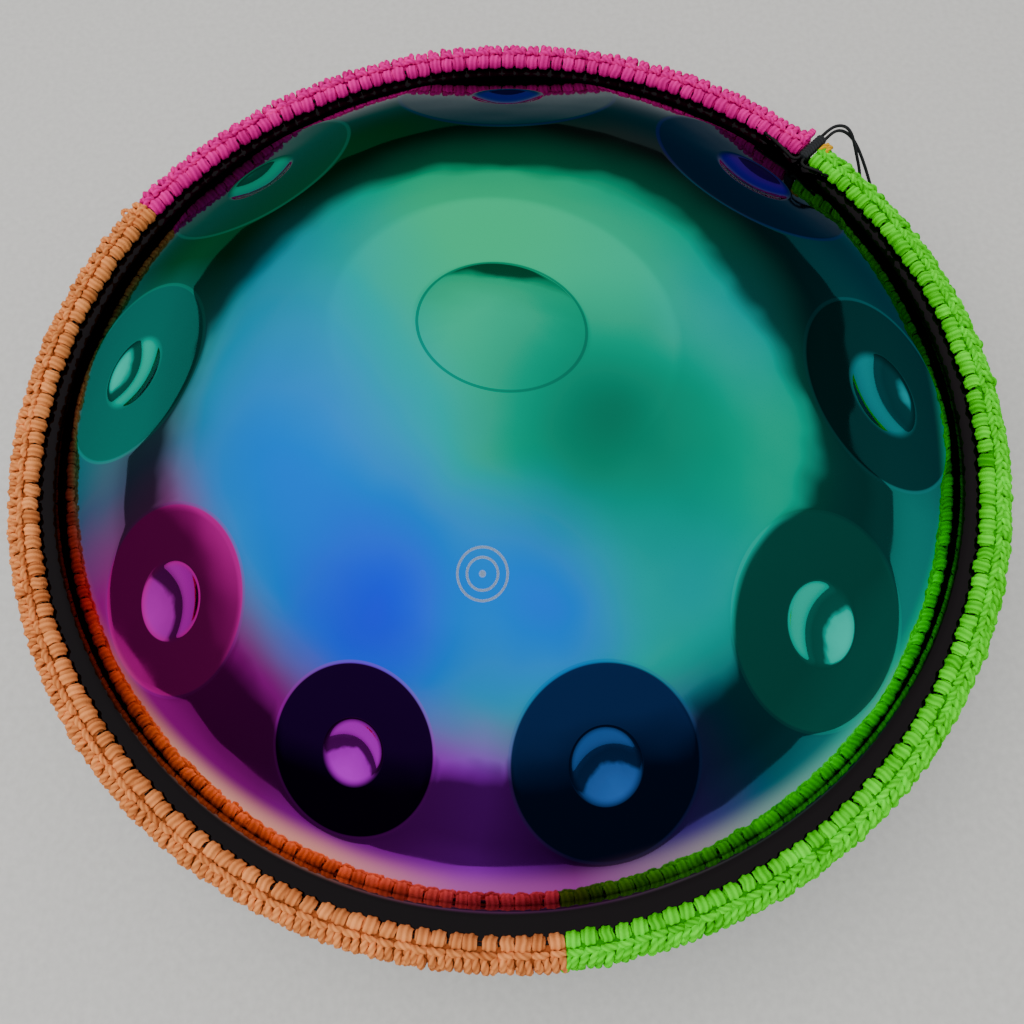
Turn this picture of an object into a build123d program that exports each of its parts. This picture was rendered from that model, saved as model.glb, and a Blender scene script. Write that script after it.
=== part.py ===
from build123d import *
import math
import os

os.makedirs("parts", exist_ok=True)

# Handpan, in millimetres. The origin is on the upright axis, at the height of the
# surface that the instrument stands on. +Z is up and +Y points away from the player.

# ---- sheet metal shells; SPARE and LAP are how far a sheet passes its oval before and after the cut
SHEET = 1.2
SPARE = 2.0
LAP = 0.4
GLUE = 0.6
DOME_R = 320.0
FLANGE_R = 265.0
FLANGE_ROOT_R = 255.5
ROOT_FILLET = 12.0

# ---- sound port in the bottom shell
PORT_R = 50.0
PORT_LIP = 12.0
PORT_NECK = 30.0

# ---- heights that follow from the arcs above
FLANGE_HALF = GLUE / 2 + SHEET
DOME_DROP = math.sqrt((DOME_R + ROOT_FILLET) ** 2 - FLANGE_ROOT_R**2) - FLANGE_HALF - ROOT_FILLET
LIP_DROP = math.sqrt((DOME_R - PORT_LIP) ** 2 - (PORT_R + PORT_LIP) ** 2) - DOME_DROP
RIM_Z = LIP_DROP + PORT_LIP
TOP_CENTRE = RIM_Z - DOME_DROP
BOTTOM_CENTRE = RIM_Z + DOME_DROP

# ---- tone fields: direction from the axis, half width across the slope, dimple half width
FIELD_AXIS_R = 195.0
FIELD_STRETCH = 1.19
DIMPLE_STRETCH = 1.26
DIMPLE_DEPTH = 4.5
DISH_ROOM = 10.0
FIELDS = [
    (87, 62, 20.0),
    (41, 58, 22.0),
    (356, 51, 22.0),
    (317.5, 48, 18.5),
    (281, 43, 16.0),
    (247, 37.5, 13.5),
    (212.5, 43, 17.5),
    (174, 49, 19.5),
    (133, 55, 20.0),
]

# ---- centre note: a flat oval with a two-step dome on it
CENTRE_TURN = -22.0
CENTRE_LENGTH = 81.0
CENTRE_WIDTH = 68.0
DOME_STEPS = [(39.0, 32.5, 7.5), (28.5, 23.8, 5.0)]
STEP_SHARE = DOME_STEPS[1][0] / DOME_STEPS[0][0]

# ---- knotted rim cover
COVER_IN_R = 260.5
COVER_OUT_R = 275.0
COVER_CROWN_R = 267.5
COVER_HALF = 7.5
COVER_LIP = 4.5
COVER_BROW = (2.1, 6.8)
COVER_CHEEK = (2.1, 5.3)
CLOSURE_AT = 42.5
CLOSURE_GAP = 8.4
PINK_END = 143.0
TERRACOTTA_END = 273.4
SEAM_GAP = 0.1

# ---- black tension cords, knot and tails
CORD_R = 1.0
CORD_RING_R = 263.2
CORD_HEIGHT = 4.0
CORD_SPACING = 1.5
CORD_CHANNEL = 0.1
CORNER_R = 3.5
RUN_IN = {1: (16.0, 135.0), -1: (9.0, 60.0)}
LEAD_END = 284.0
KNOT_START = 259.0
KNOT_LENGTH = 21.5
KNOT_WIDTH = 6.6
KNOT_HEIGHT = 4.8
KNOT_ROUND = 2.0
KNOT_CLEARANCE = 0.2

# Tail routes: outwards from the closure, sideways (towards the pink end), up from the rim.
LEFT_TAIL = [
    (284.0, 1.5, 4.0),
    (288.0, 1.5, 4.0),
    (292.4, -0.6, 5.5),
    (294.7, -5.2, 6.5),
    (294.2, -10.4, 5.3),
    (293.1, -15.2, 0.8),
    (292.8, -20.2, -6.4),
    (293.6, -24.6, -14.4),
    (295.0, -28.2, -24.0),
    (296.2, -31.0, -34.0),
    (297.0, -33.0, -44.0),
]
RIGHT_TAIL = [
    (284.0, -1.5, 4.0),
    (288.0, -1.5, 4.0),
    (292.2, -3.6, 3.9),
    (294.7, -7.9, 2.7),
    (295.5, -13.4, -0.1),
    (295.4, -19.0, -4.2),
    (295.2, -25.0, -10.0),
    (295.5, -31.0, -17.4),
    (296.3, -37.0, -26.2),
    (297.0, -41.6, -35.8),
    (297.2, -44.8, -45.5),
]

# ---- loose ends of the knotting cords: direction, start and end radius, height, thickness
STUB_SINK = 4.0
STUBS = {
    "pink_cord_end": (44.0, 271.0, 281.0, 3.0, 2.2),
    "lime_cord_end": (274.6, 269.5, 275.0, -5.0, 1.9),
    "terracotta_cord_end": (145.0, 271.0, 279.5, 2.5, 2.1),
    "golden_cord_end": (41.0, 271.0, 277.0, 4.0, 1.8),
}


def ring_point(radius, height):
    return Vector(radius, 0, height)


def ring_arc(centre, radius, start, end):
    """Arc in the XZ half plane about `centre`, between two angles in degrees from +X."""
    turns = [math.radians(a) for a in (start, (start + end) / 2, end)]
    points = [
        ring_point(centre[0] + radius * math.cos(t), centre[1] + radius * math.sin(t)) for t in turns
    ]
    return ThreePointArc(*points)


def closed_face(edges):
    """Face inside a chain of edges, with straight edges added where the chain has gaps."""
    wires = []
    for here, after in zip(edges, edges[1:] + edges[:1]):
        wires.append(here)
        if (here @ 1 - after @ 0).length > 1e-6:
            wires.append(Line(here @ 1, after @ 0))
    return make_face(wires)


def oval_prism(half_x, half_y, depth=30.0):
    return extrude(Ellipse(half_x, half_y), amount=depth, both=True)


def curved_sheet(radius_x, radius_y, half_x, half_y, back):
    """Doubly curved sheet, crown at the origin, whose far face is `back` along the radius."""
    swing = math.degrees(math.asin(half_y / radius_y))
    edges = []
    for radius, way in ((radius_y, 1), (radius_y + back, -1)):
        turns = [math.radians(90 - way * s) for s in (-swing, 0, swing)]
        points = [Vector(0, radius * math.cos(t), radius * math.sin(t) - radius_y) for t in turns]
        edges.append(ThreePointArc(*points))
    axis = Axis((0, 0, -radius_x), (0, 1, 0))
    turn = math.degrees(math.asin(half_x / radius_x))
    section = closed_face(edges).rotate(axis, -turn)
    return revolve(section, axis, 2 * turn)


def domed_oval(half_x, half_y, rise, overlap):
    """Raised oval dome of sheet metal, its edge at z = 0."""
    radius_x = half_x**2 / (2 * rise)
    radius_y = half_y**2 / (2 * rise)
    sheet = curved_sheet(radius_x, radius_y, half_x + SPARE, half_y + SPARE, -SHEET)
    return Pos(0, 0, rise) * sheet & oval_prism(half_x + overlap, half_y + overlap)


def dish_space(half_x, half_y, depth):
    """Space above a sunken oval dish whose edge is at z = 0."""
    radius_x = half_x**2 / (2 * depth)
    radius_y = half_y**2 / (2 * depth)
    space = curved_sheet(radius_x, radius_y, half_x + SPARE, half_y + SPARE, -DISH_ROOM)
    return Pos(0, 0, -depth) * space.mirror(Plane.XY)


def flattened_oval(half_x, half_y):
    """Oval of sheet curved only along x, so that its edge lies on the dome all round."""
    radius = DOME_R * half_x**2 / (half_x**2 - half_y**2)
    swing = math.degrees(math.asin((half_x + SPARE) / radius))
    arcs = [
        ring_arc((0, -radius), radius, 90 + swing, 90 - swing),
        ring_arc((0, -radius), radius - SHEET, 90 - swing, 90 + swing),
    ]
    sheet = extrude(closed_face(arcs), amount=half_y + SPARE, both=True)
    drop = DOME_R - math.sqrt(DOME_R**2 - half_y**2)
    return Pos(0, 0, -drop) * sheet & oval_prism(half_x + LAP, half_y + LAP), drop


def shell_profile(centre_z, side):
    """Dome, root fillet and flange of one shell; `side` is 1 for the top and -1 for the bottom."""
    root_z = RIM_Z + side * (FLANGE_HALF + ROOT_FILLET)
    lean = math.degrees(math.atan2(abs(root_z - centre_z), FLANGE_ROOT_R))
    outer = [
        ring_arc((FLANGE_ROOT_R, root_z), ROOT_FILLET, side * (lean - 180), -90 * side),
        Line(
            ring_point(FLANGE_R, RIM_Z + side * FLANGE_HALF),
            ring_point(FLANGE_R, RIM_Z + side * GLUE / 2),
        ),
        ring_arc((FLANGE_ROOT_R, root_z), ROOT_FILLET + SHEET, -90 * side, side * (lean - 180)),
    ]
    return outer, lean


def field_plane(direction):
    """Plane that touches the dome at a tone field, x down the slope and z outwards."""
    turn = math.radians(direction)
    outwards = Vector(math.cos(turn), math.sin(turn), 0)
    lean = math.asin(FIELD_AXIS_R / DOME_R)
    normal = outwards * math.sin(lean) + Vector(0, 0, math.cos(lean))
    down = outwards * math.cos(lean) - Vector(0, 0, math.sin(lean))
    return Plane(origin=Vector(0, 0, TOP_CENTRE) + normal * DOME_R, x_dir=down, z_dir=normal)


def tone_field(half_y, dimple_y):
    """Flattened oval with a dimple in it, in its own plane."""
    half_x = half_y * FIELD_STRETCH
    plate, drop = flattened_oval(half_x, half_y)
    dish = Pos(0, 0, -drop) * dish_space(dimple_y * DIMPLE_STRETCH, dimple_y, DIMPLE_DEPTH)
    below_mid_sheet = Pos(0, 0, -drop - SHEET / 2 - half_x) * Box(2 * half_x, 2 * half_x, 2 * half_x)
    bulge = (Pos(0, 0, -SHEET) * dish) & below_mid_sheet
    return plate + bulge - dish


def centre_note():
    """Flattened oval at the crown with a two-step dome, in the plane that touches the crown."""
    plate, drop = flattened_oval(CENTRE_LENGTH, CENTRE_WIDTH)
    (low_x, low_y, low_rise), (high_x, high_y, high_rise) = DOME_STEPS
    step = low_rise * (1 - STEP_SHARE**2)
    low = Pos(0, 0, -drop) * domed_oval(low_x, low_y, low_rise, LAP)
    high = Pos(0, 0, step - drop) * domed_oval(high_x, high_y, high_rise, 1.5 * LAP)
    note = plate - oval_prism(low_x, low_y)
    return note + (low - oval_prism(high_x, high_y)) + high


def top_shell():
    arcs, lean = shell_profile(TOP_CENTRE, 1)
    skin = [
        ring_arc((0, TOP_CENTRE), DOME_R - SHEET, lean, 90),
        ring_arc((0, TOP_CENTRE), DOME_R, 90, lean),
    ]
    shell = revolve(closed_face(arcs + skin), Axis.Z)
    for direction, half_y, dimple_y in FIELDS:
        plane = field_plane(direction)
        shell -= plane * oval_prism(half_y * FIELD_STRETCH, half_y)
        shell += plane * tone_field(half_y, dimple_y)
    crown = Pos(0, 0, TOP_CENTRE + DOME_R) * Rot(0, 0, CENTRE_TURN)
    shell -= crown * oval_prism(CENTRE_LENGTH, CENTRE_WIDTH)
    return shell + crown * centre_note()


def bottom_shell():
    """Plain dome that turns through a rounded lip into the neck of the sound port."""
    arcs, lean = shell_profile(BOTTOM_CENTRE, -1)
    lip = (PORT_R + PORT_LIP, PORT_LIP)
    lip_turn = math.degrees(math.atan2(PORT_LIP - BOTTOM_CENTRE, lip[0]))
    skin = [
        ring_arc((0, BOTTOM_CENTRE), DOME_R - SHEET, -lean, lip_turn),
        ring_arc(lip, PORT_LIP - SHEET, lip_turn, -180),
        Line(ring_point(PORT_R + SHEET, lip[1] + PORT_NECK), ring_point(PORT_R, lip[1] + PORT_NECK)),
        ring_arc(lip, PORT_LIP, -180, lip_turn),
        ring_arc((0, BOTTOM_CENTRE), DOME_R, lip_turn, -lean),
    ]
    return revolve(closed_face(arcs + skin), Axis.Z)


def rim_adhesive():
    band = Rectangle(FLANGE_R - FLANGE_ROOT_R, GLUE)
    section = Plane.XZ * Pos((FLANGE_R + FLANGE_ROOT_R) / 2, RIM_Z) * band
    return revolve(section, Axis.Z)


def cover_section():
    """C-shaped section that grips both flanges, with a channel for the lower cord."""
    edges = []
    for side in (1, -1):
        lip = ring_point(COVER_IN_R, RIM_Z + side * COVER_LIP)
        brow = ring_point(COVER_IN_R + COVER_BROW[0], RIM_Z + side * COVER_BROW[1])
        crown = ring_point(COVER_CROWN_R, RIM_Z + side * COVER_HALF)
        cheek = ring_point(COVER_OUT_R - COVER_CHEEK[0], RIM_Z + side * COVER_CHEEK[1])
        nose = ring_point(COVER_OUT_R, RIM_Z)
        if side > 0:
            edges += [ThreePointArc(lip, brow, crown), ThreePointArc(crown, cheek, nose)]
        else:
            edges += [ThreePointArc(nose, cheek, crown), ThreePointArc(crown, brow, lip)]
    slot = [
        Line(ring_point(COVER_IN_R, RIM_Z - FLANGE_HALF), ring_point(FLANGE_R, RIM_Z - FLANGE_HALF)),
        Line(ring_point(FLANGE_R, RIM_Z + FLANGE_HALF), ring_point(COVER_IN_R, RIM_Z + FLANGE_HALF)),
    ]
    section = closed_face(edges + slot)
    return section - Plane.XZ * Pos(CORD_RING_R, RIM_Z - CORD_HEIGHT) * Circle(CORD_R + CORD_CHANNEL)


def rim_cover(start, end, stub_names):
    """One colour's stretch of the cover, with the upper cord's channel and a socket for each stub."""
    section = cover_section().rotate(Axis.Z, start)
    cover = revolve(section, Axis.Z, end - start) - upper_tension_cord(CORD_R + CORD_CHANNEL)
    for name in stub_names:
        cover -= stub_bar(name, 0.05)
    return cover


def stub_bar(name, growth):
    direction, start, end, height, radius = STUBS[name]
    turn = math.radians(direction)
    outwards = Vector(math.cos(turn), math.sin(turn), 0)
    base = Vector(0, 0, RIM_Z + height) + outwards * (start - STUB_SINK - growth)
    length = end - start + STUB_SINK + 2 * growth
    return Plane(origin=base, z_dir=outwards) * extrude(Circle(radius + growth), amount=length)


def cord_stub(name):
    """Loose cord end: a short bar with a rounded tip."""
    bar = stub_bar(name, 0)
    direction = math.radians(STUBS[name][0])
    outwards = Axis((0, 0, 0), (math.cos(direction), math.sin(direction), 0))
    tip = bar.faces().sort_by(outwards)[-1]
    return fillet(tip.edges(), STUBS[name][4] * 0.6)


def cord_end(side):
    """Upper cord from the ring to the lead on one side: run-in arc, bend and straight lead."""
    leave, run_r = RUN_IN[side]
    leave_turn = math.radians(leave)
    shift = CORD_RING_R - run_r
    centre = Vector(shift * math.cos(leave_turn), side * shift * math.sin(leave_turn))
    bend_y = side * (CORD_SPACING + CORNER_R)
    reach = run_r + CORNER_R
    bend = Vector(centre.X + math.sqrt(reach**2 - (bend_y - centre.Y) ** 2), bend_y)
    meet_turn = math.atan2(bend.Y - centre.Y, bend.X - centre.X)
    run_turns = [side * leave_turn, (side * leave_turn + meet_turn) / 2, meet_turn]
    back_turn = meet_turn - side * math.pi
    bend_turns = [back_turn, (back_turn - side * math.pi / 2) / 2, -side * math.pi / 2]
    run_in = [centre + Vector(math.cos(t), math.sin(t)) * run_r for t in run_turns]
    turn_out = [bend + Vector(math.cos(t), math.sin(t)) * CORNER_R for t in bend_turns]
    return run_in, turn_out


def upper_tension_cord(radius):
    """Ring under the cover's upper lip whose two ends turn outwards through the knot."""
    left_run, left_bend = cord_end(1)
    right_run, right_bend = cord_end(-1)
    path = Wire(
        [
            Line((LEAD_END, CORD_SPACING), left_bend[2]),
            ThreePointArc(*reversed(left_bend)),
            ThreePointArc(*reversed(left_run)),
            ThreePointArc(left_run[0], (-CORD_RING_R, 0), right_run[0]),
            ThreePointArc(*right_run),
            ThreePointArc(*right_bend),
            Line(right_bend[2], (LEAD_END, -CORD_SPACING)),
        ]
    )
    return CLOSURE * Pos(0, 0, CORD_HEIGHT) * round_bar(path, radius)


def lower_tension_cord():
    section = Plane.XZ * Pos(CORD_RING_R, RIM_Z - CORD_HEIGHT) * Circle(CORD_R)
    return revolve(section, Axis.Z)


def round_bar(path, radius):
    return sweep(Plane(origin=path @ 0, z_dir=path % 0) * Circle(radius), path=path)


def closure_knot():
    """Sliding knot round both leads, a rounded bar with a passage for each."""
    middle = (KNOT_START + KNOT_LENGTH / 2, 0, CORD_HEIGHT)
    knot = Pos(*middle) * Box(KNOT_LENGTH, KNOT_WIDTH, KNOT_HEIGHT)
    knot = fillet(knot.edges(), KNOT_ROUND)
    for side in (1, -1):
        passage = Cylinder(CORD_R + KNOT_CLEARANCE, 2 * KNOT_LENGTH, rotation=(0, 90, 0))
        knot -= Pos(middle[0], side * CORD_SPACING, CORD_HEIGHT) * passage
    return CLOSURE * knot


def corner_radii(route):
    """Arc radius at each corner of a cord's route, as large as its two runs allow."""
    radii = []
    for before, here, after in zip(route, route[1:], route[2:]):
        run_in = Vector(*here) - Vector(*before)
        run_out = Vector(*after) - Vector(*here)
        half_turn = math.radians(run_in.get_angle(run_out) / 2)
        radii.append(0.45 * min(run_in.length, run_out.length) / math.tan(half_turn))
    return radii


def tail_cord(name, route):
    radii = corner_radii(route)
    path = FilletPolyline(*route, radius=radii)
    tail = round_bar(path, CORD_R)
    share = tail.volume / (math.pi * CORD_R**2 * path.length)
    print(name, "length", round(path.length, 1), "radii", [round(r, 1) for r in radii])
    print(name, "volume over section times length", round(share, 4))
    return CLOSURE * tail


# Frame at the closure: x outwards, y towards the pink stretch, z up from the rim.
CLOSURE = Pos(0, 0, RIM_Z) * Rot(0, 0, CLOSURE_AT)

gap_turn = math.degrees(CLOSURE_GAP / 2 / COVER_IN_R)
seam_turn = math.degrees(SEAM_GAP / 2 / COVER_IN_R)
pink_start = CLOSURE_AT + gap_turn
lime_end = CLOSURE_AT - gap_turn + 360

nodes = {
    "top_shell": top_shell(),
    "bottom_shell": bottom_shell(),
    "rim_adhesive": rim_adhesive(),
    "pink_rim_cover": rim_cover(pink_start, PINK_END - seam_turn, ["pink_cord_end"]),
    "terracotta_rim_cover": rim_cover(
        PINK_END + seam_turn, TERRACOTTA_END - seam_turn, ["terracotta_cord_end"]
    ),
    "lime_rim_cover": rim_cover(
        TERRACOTTA_END + seam_turn, lime_end, ["lime_cord_end", "golden_cord_end"]
    ),
    "upper_tension_cord": upper_tension_cord(CORD_R),
    "lower_tension_cord": lower_tension_cord(),
    "closure_knot": closure_knot(),
    "left_tail_cord": tail_cord("left_tail_cord", LEFT_TAIL),
    "right_tail_cord": tail_cord("right_tail_cord", RIGHT_TAIL),
}
for stub in STUBS:
    nodes[stub] = cord_stub(stub)

for name, shape in nodes.items():
    export_step(shape, f"parts/{name}.step")

print("rim height", round(RIM_Z, 2), "crown height", round(TOP_CENTRE + DOME_R, 2))
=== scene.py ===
"""Looks of the handpan: coated steel shells, knotted cotton rim cover, black cord and sliding knot."""

import math

import bpy
import numpy as np
from mathutils import Matrix, Vector
from mathutils.geometry import delaunay_2d_cdt


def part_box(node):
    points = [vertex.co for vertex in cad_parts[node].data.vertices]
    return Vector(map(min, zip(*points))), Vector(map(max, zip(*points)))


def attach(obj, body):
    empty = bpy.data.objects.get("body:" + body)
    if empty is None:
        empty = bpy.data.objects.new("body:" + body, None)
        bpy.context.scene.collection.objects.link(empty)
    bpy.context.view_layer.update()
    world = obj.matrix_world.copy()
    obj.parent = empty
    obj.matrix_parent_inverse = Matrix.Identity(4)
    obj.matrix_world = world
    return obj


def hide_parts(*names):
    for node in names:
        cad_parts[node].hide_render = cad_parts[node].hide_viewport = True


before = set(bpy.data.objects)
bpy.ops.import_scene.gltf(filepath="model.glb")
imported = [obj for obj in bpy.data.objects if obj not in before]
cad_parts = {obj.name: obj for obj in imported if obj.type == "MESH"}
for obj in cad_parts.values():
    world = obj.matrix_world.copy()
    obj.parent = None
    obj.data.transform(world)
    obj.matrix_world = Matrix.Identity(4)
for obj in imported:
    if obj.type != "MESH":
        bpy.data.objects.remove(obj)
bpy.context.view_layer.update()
rng = np.random.default_rng(7)

# ---- sizes in metres, from the frame where it has them
GLUE_LOW, GLUE_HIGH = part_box("rim_adhesive")
RIM_Z = (GLUE_LOW.z + GLUE_HIGH.z) / 2
FLANGE_R = GLUE_HIGH.x
FLOOR_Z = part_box("bottom_shell")[0].z
SHEET = 0.0012
FLANGE_HALF = (GLUE_HIGH.z - GLUE_LOW.z) / 2 + SHEET
DOME_R = 0.320
FLANGE_ROOT_R = 0.2555
ROOT_FILLET = 0.012
PORT_R = 0.050
PORT_LIP = 0.012
PORT_NECK = 0.030
RIM_SEGMENTS = 720
SHARP_ANGLE = math.radians(40)

# Height of the dome's centre from the rim, and the radius where the dome meets the root fillet.
ROOT_HEIGHT = FLANGE_HALF + ROOT_FILLET
DOME_CENTRE = ROOT_HEIGHT - math.sqrt((DOME_R + ROOT_FILLET) ** 2 - FLANGE_ROOT_R**2)
TANGENT_R = FLANGE_ROOT_R * DOME_R / (DOME_R + ROOT_FILLET)

# ---- tone fields: direction in degrees, half width, half width of the dimple
FIELD_AXIS_R = 0.195
FIELD_STRETCH = 1.19
DIMPLE_STRETCH = 1.26
DIMPLE_DEPTH = 0.0045
FIELDS = [
    (87, 0.0620, 0.0200),
    (41, 0.0580, 0.0220),
    (356, 0.0510, 0.0220),
    (317.5, 0.0480, 0.0185),
    (281, 0.0430, 0.0160),
    (247, 0.0375, 0.0135),
    (212.5, 0.0430, 0.0175),
    (174, 0.0490, 0.0195),
    (133, 0.0550, 0.0200),
]
CENTRE_TURN = -22.0
CENTRE_HALF = (0.081, 0.068)
LOW_DOME = (0.0390, 0.0325, 0.0075)
HIGH_DOME = (0.0285, 0.0238, 0.0050)
HIGH_BASE = LOW_DOME[2] * (1 - (HIGH_DOME[0] / LOW_DOME[0]) ** 2)
# How far a crease is rounded, and the width past the dome's edge over which every note fades out.
CREASE = 0.00042
DIMPLE_CREASE = 0.0006
NOTE_FADE = 0.005
# How far out a tone field, and the centre note, is worked out, as a multiple of its half width.
FIELD_REACH = 1.35
CENTRE_REACH = 1.1

# ---- points of the top shell: rings either side of a crease, circles round its root, and the grids between
WIDE_RINGS = (-0.004, -0.0024, -0.0012, 0.0, 0.0012, 0.0024, 0.004)
WIDE_SPACING = 0.0019
NARROW_RINGS = (-0.0033, -0.002, -0.001, 0.0, 0.001, 0.002, 0.0033)
NARROW_SPACING = 0.0014
OUTER_GRID = (0.0022, 0.2428)
OUTER_CIRCLES = (0.2445, 0.2463, 0.2482, 0.2501, 0.252, 0.2538, 0.2555, 0.2575, 0.261, FLANGE_R)
INNER_GRID = (0.0048, 0.2435)
INNER_CIRCLES = (0.2463, 0.2509, 0.2555, FLANGE_R)
HEX_ROW = 0.866

# ---- closure: direction in degrees, and each tail's control points outwards, sideways and up from the rim
CLOSURE_AT = 42.5
CORD_R = 0.001
TAIL_LENGTHS = (0.0747, 0.0761)
LEFT_TAIL = [
    (0.2840, 0.0015, 0.0040),
    (0.2880, 0.0015, 0.0040),
    (0.2924, -0.0006, 0.0055),
    (0.2947, -0.0052, 0.0065),
    (0.2942, -0.0104, 0.0053),
    (0.2931, -0.0152, 0.0008),
    (0.2928, -0.0202, -0.0064),
    (0.2936, -0.0246, -0.0144),
    (0.2950, -0.0282, -0.0240),
    (0.2962, -0.0310, -0.0340),
    (0.2970, -0.0330, -0.0440),
]
RIGHT_TAIL = [
    (0.2840, -0.0015, 0.0040),
    (0.2880, -0.0015, 0.0040),
    (0.2922, -0.0036, 0.0039),
    (0.2947, -0.0079, 0.0027),
    (0.2955, -0.0134, -0.0001),
    (0.2954, -0.0190, -0.0042),
    (0.2952, -0.0250, -0.0100),
    (0.2955, -0.0310, -0.0174),
    (0.2963, -0.0370, -0.0262),
    (0.2970, -0.0416, -0.0358),
    (0.2972, -0.0448, -0.0455),
]


# ---------------------------------------------------------------- mesh helpers

def new_mesh(name, points, faces, shade=None, normals=None):
    """Object from points and a list of face arrays, each with one row per face."""
    mesh = bpy.data.meshes.new(name)
    sizes = np.concatenate([np.full(len(f), f.shape[1]) for f in faces])
    corners = np.concatenate([f.ravel() for f in faces]).astype(np.int32)
    starts = np.concatenate([[0], np.cumsum(sizes)[:-1]]).astype(np.int32)
    mesh.vertices.add(len(points))
    mesh.vertices.foreach_set("co", np.ascontiguousarray(points, np.float32).ravel())
    mesh.loops.add(len(corners))
    mesh.loops.foreach_set("vertex_index", corners)
    mesh.polygons.add(len(sizes))
    mesh.polygons.foreach_set("loop_start", starts)
    mesh.update(calc_edges=True)
    mesh.validate()
    mesh.polygons.foreach_set("use_smooth", np.ones(len(mesh.polygons), bool))
    if shade is not None:
        layer = mesh.attributes.new("shade", "FLOAT", "POINT")
        layer.data.foreach_set("value", np.asarray(shade, np.float32))
    if normals is not None:
        mesh.normals_split_custom_set_from_vertices(normals)
    piece = bpy.data.objects.new(name, mesh)
    bpy.context.scene.collection.objects.link(piece)
    return piece


def finish_piece(piece, material, slot, body, *nodes):
    """Gives a piece its material and body, and hides the frame's nodes that it stands for; `slot` is not
    used.
    """
    piece.data.materials.clear()
    piece.data.materials.append(material)
    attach(piece, body)
    if nodes:
        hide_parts(*nodes)


def grid_faces(rows, columns, close_rows=False):
    """Quads over a grid of points whose columns run round, and whose rows may."""
    row = np.arange(rows if close_rows else rows - 1)[:, None]
    column = np.arange(columns)[None, :]
    after_row = (row + 1) % rows
    after_column = (column + 1) % columns
    corners = [row * columns + column, row * columns + after_column,
               after_row * columns + after_column, after_row * columns + column]
    shape = (len(row), columns)
    return np.stack([np.broadcast_to(c, shape) for c in corners], -1).reshape(-1, 4)


def smooth_path(points, steps):
    """Catmull-Rom points along (..., K, 3) control points, `steps` of them."""
    count = points.shape[-2]
    padded = np.concatenate([2 * points[..., :1, :] - points[..., 1:2, :], points,
                             2 * points[..., -1:, :] - points[..., -2:-1, :]], -2)
    place = np.linspace(0, count - 1, steps)
    span = np.minimum(place.astype(int), count - 2)
    t = (place - span)[:, None]
    p0, p1, p2, p3 = (padded[..., span + k, :] for k in range(4))
    return 0.5 * (2 * p1 + (p2 - p0) * t + (2 * p0 - 5 * p1 + 4 * p2 - p3) * t**2
                  + (3 * p1 - p0 - 3 * p2 + p3) * t**3)


def tubes(paths, radii, sides, plies=3, turns=1.5, relief=0.12, start=None):
    """Twisted cords along (U, N, 3) paths with (U, N) radii: points, quads, end caps, and a wave that
    is 1 on a ply and -1 in a groove."""
    units, steps = paths.shape[:2]
    ahead = np.gradient(paths, axis=1)
    ahead /= np.linalg.norm(ahead, axis=2, keepdims=True)
    side = np.cross(ahead[:, 0], [0.31, 0.17, 0.93])
    sides_at = []
    for k in range(steps):
        side = side - (side * ahead[:, k]).sum(1, keepdims=True) * ahead[:, k]
        side = side / np.linalg.norm(side, axis=1, keepdims=True)
        sides_at.append(side)
    across = np.stack(sides_at, 1)
    upward = np.cross(ahead, across)
    around = np.arange(sides) * 2 * math.pi / sides
    begin = np.zeros(units) if start is None else start
    twist = begin[:, None, None] + np.linspace(0, turns * 2 * math.pi, steps)[None, :, None]
    wave = np.cos(plies * (around[None, None, :] - twist))
    swell = radii[..., None] * (1 + relief * wave)
    ring = (np.cos(around)[None, None, :, None] * across[:, :, None]
            + np.sin(around)[None, None, :, None] * upward[:, :, None])
    points = paths[:, :, None] + ring * swell[..., None]
    quads = grid_faces(steps, sides)
    offset = (np.arange(units) * steps * sides)[:, None, None]
    first = np.arange(sides)[::-1][None, None, :]
    last = (steps - 1) * sides + np.arange(sides)[None, None, :]
    caps = np.concatenate([first + offset, last + offset]).reshape(-1, sides)
    return points.reshape(-1, 3), (quads[None] + offset).reshape(-1, 4), caps, wave.reshape(-1)


def painted_groove_shade(wave):
    """Share of the light colour, least in the grooves between a cord's plies: painted shade in the grooves.
    """
    return 0.55 + 0.28 * wave


def rounded_ends(steps):
    """Radius factors that round off both ends of a cord."""
    factors = np.ones(steps)
    factors[[0, -1]] = 0.45
    factors[[1, -2]] = 0.85
    return factors


# ---------------------------------------------------------------- camera

CAMERA_SENSOR = 36.0
CAMERA_LENS = 34.45
CAMERA_EYE = Vector((0.0, -0.2324, RIM_Z + 0.4998))
CAMERA_TARGET = Vector((0.0008, -0.0477, RIM_Z))
CAMERA_ROLL = -2.58


def make_camera():
    """Steeply from above, on the player's side, with a slight roll."""
    data = bpy.data.cameras.new("camera")
    data.sensor_width = CAMERA_SENSOR
    data.lens = CAMERA_LENS
    camera = bpy.data.objects.new("camera", data)
    bpy.context.scene.collection.objects.link(camera)
    roll = Matrix.Rotation(math.radians(CAMERA_ROLL), 4, "Z")
    turn = (CAMERA_TARGET - CAMERA_EYE).to_track_quat("-Z", "Y").to_matrix().to_4x4()
    camera.matrix_world = Matrix.Translation(CAMERA_EYE) @ turn @ roll
    bpy.context.scene.camera = camera


make_camera()


# ---------------------------------------------------------------- tails of the tension cord

BRAID_SIDES = 24
BRAID_STEP = 0.0003
BRAID_CORE = 0.94
BRAID_PITCH = 0.0056
BRAID_RIDGES = 6
BRAID_RELIEF = 0.055
TIP_TAPER = (0.97, 0.88, 0.7, 0.4)


def rim_point(direction, outwards, sideways, up):
    """A point given from a direction in degrees: outwards, anticlockwise and up from the rim."""
    turn = math.radians(direction)
    return (outwards * math.cos(turn) - sideways * math.sin(turn),
            outwards * math.sin(turn) + sideways * math.cos(turn), RIM_Z + up)


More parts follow.
